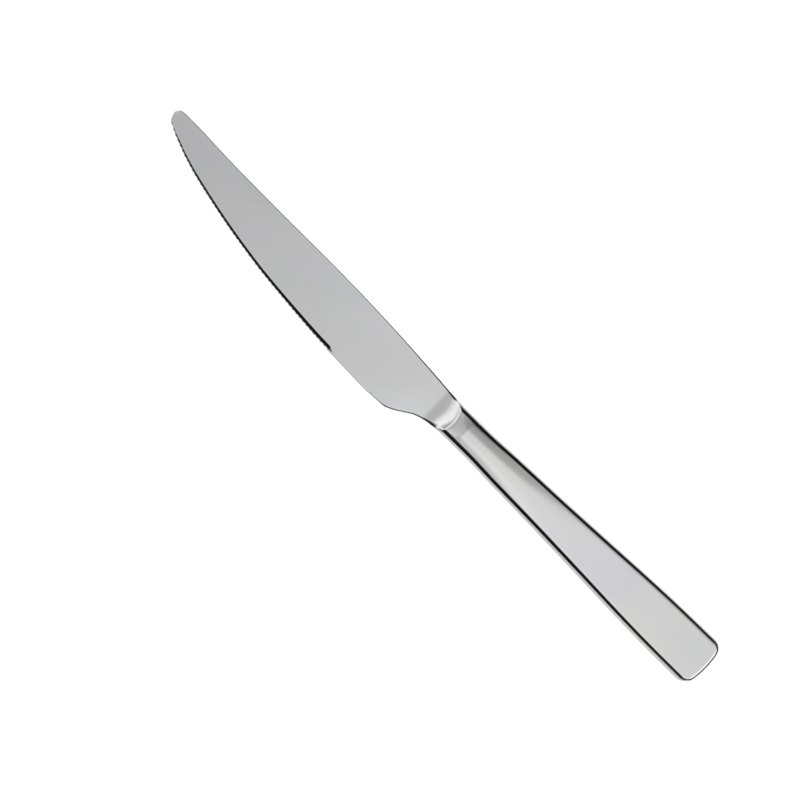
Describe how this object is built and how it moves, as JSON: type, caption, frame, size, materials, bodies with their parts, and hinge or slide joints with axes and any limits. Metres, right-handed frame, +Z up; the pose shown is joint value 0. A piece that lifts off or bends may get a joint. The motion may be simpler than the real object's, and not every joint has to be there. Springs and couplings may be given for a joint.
{
  "type": "table knife",
  "caption": "Table knife with a round-ended, finely serrated blade, a bolster with hollow flanks and a flared, hollow steel handle.",
  "frame": {"origin": "middle of the knife's plan outline, on the surface that it lies on", "axes": "+X along the knife from the tip to the butt, +Y from the cutting edge to the spine, +Z up out of the front face"},
  "size_m": [0.235, 0.022, 0.0079],
  "materials": {
    "blade_steel": "finely brushed stainless steel",
    "handle_steel": "satin to bright stainless steel",
    "silver_braze": "braze ground flush",
    "handle_cement": "matt filler"
  },
  "bodies": {
    "root": {"blade": "blade_steel", "neck_braze": "silver_braze", "front_shell": "handle_steel", "back_shell": "handle_steel", "seam_braze": "silver_braze", "cement_fill": "handle_cement"}
  },
  "joints": []
}
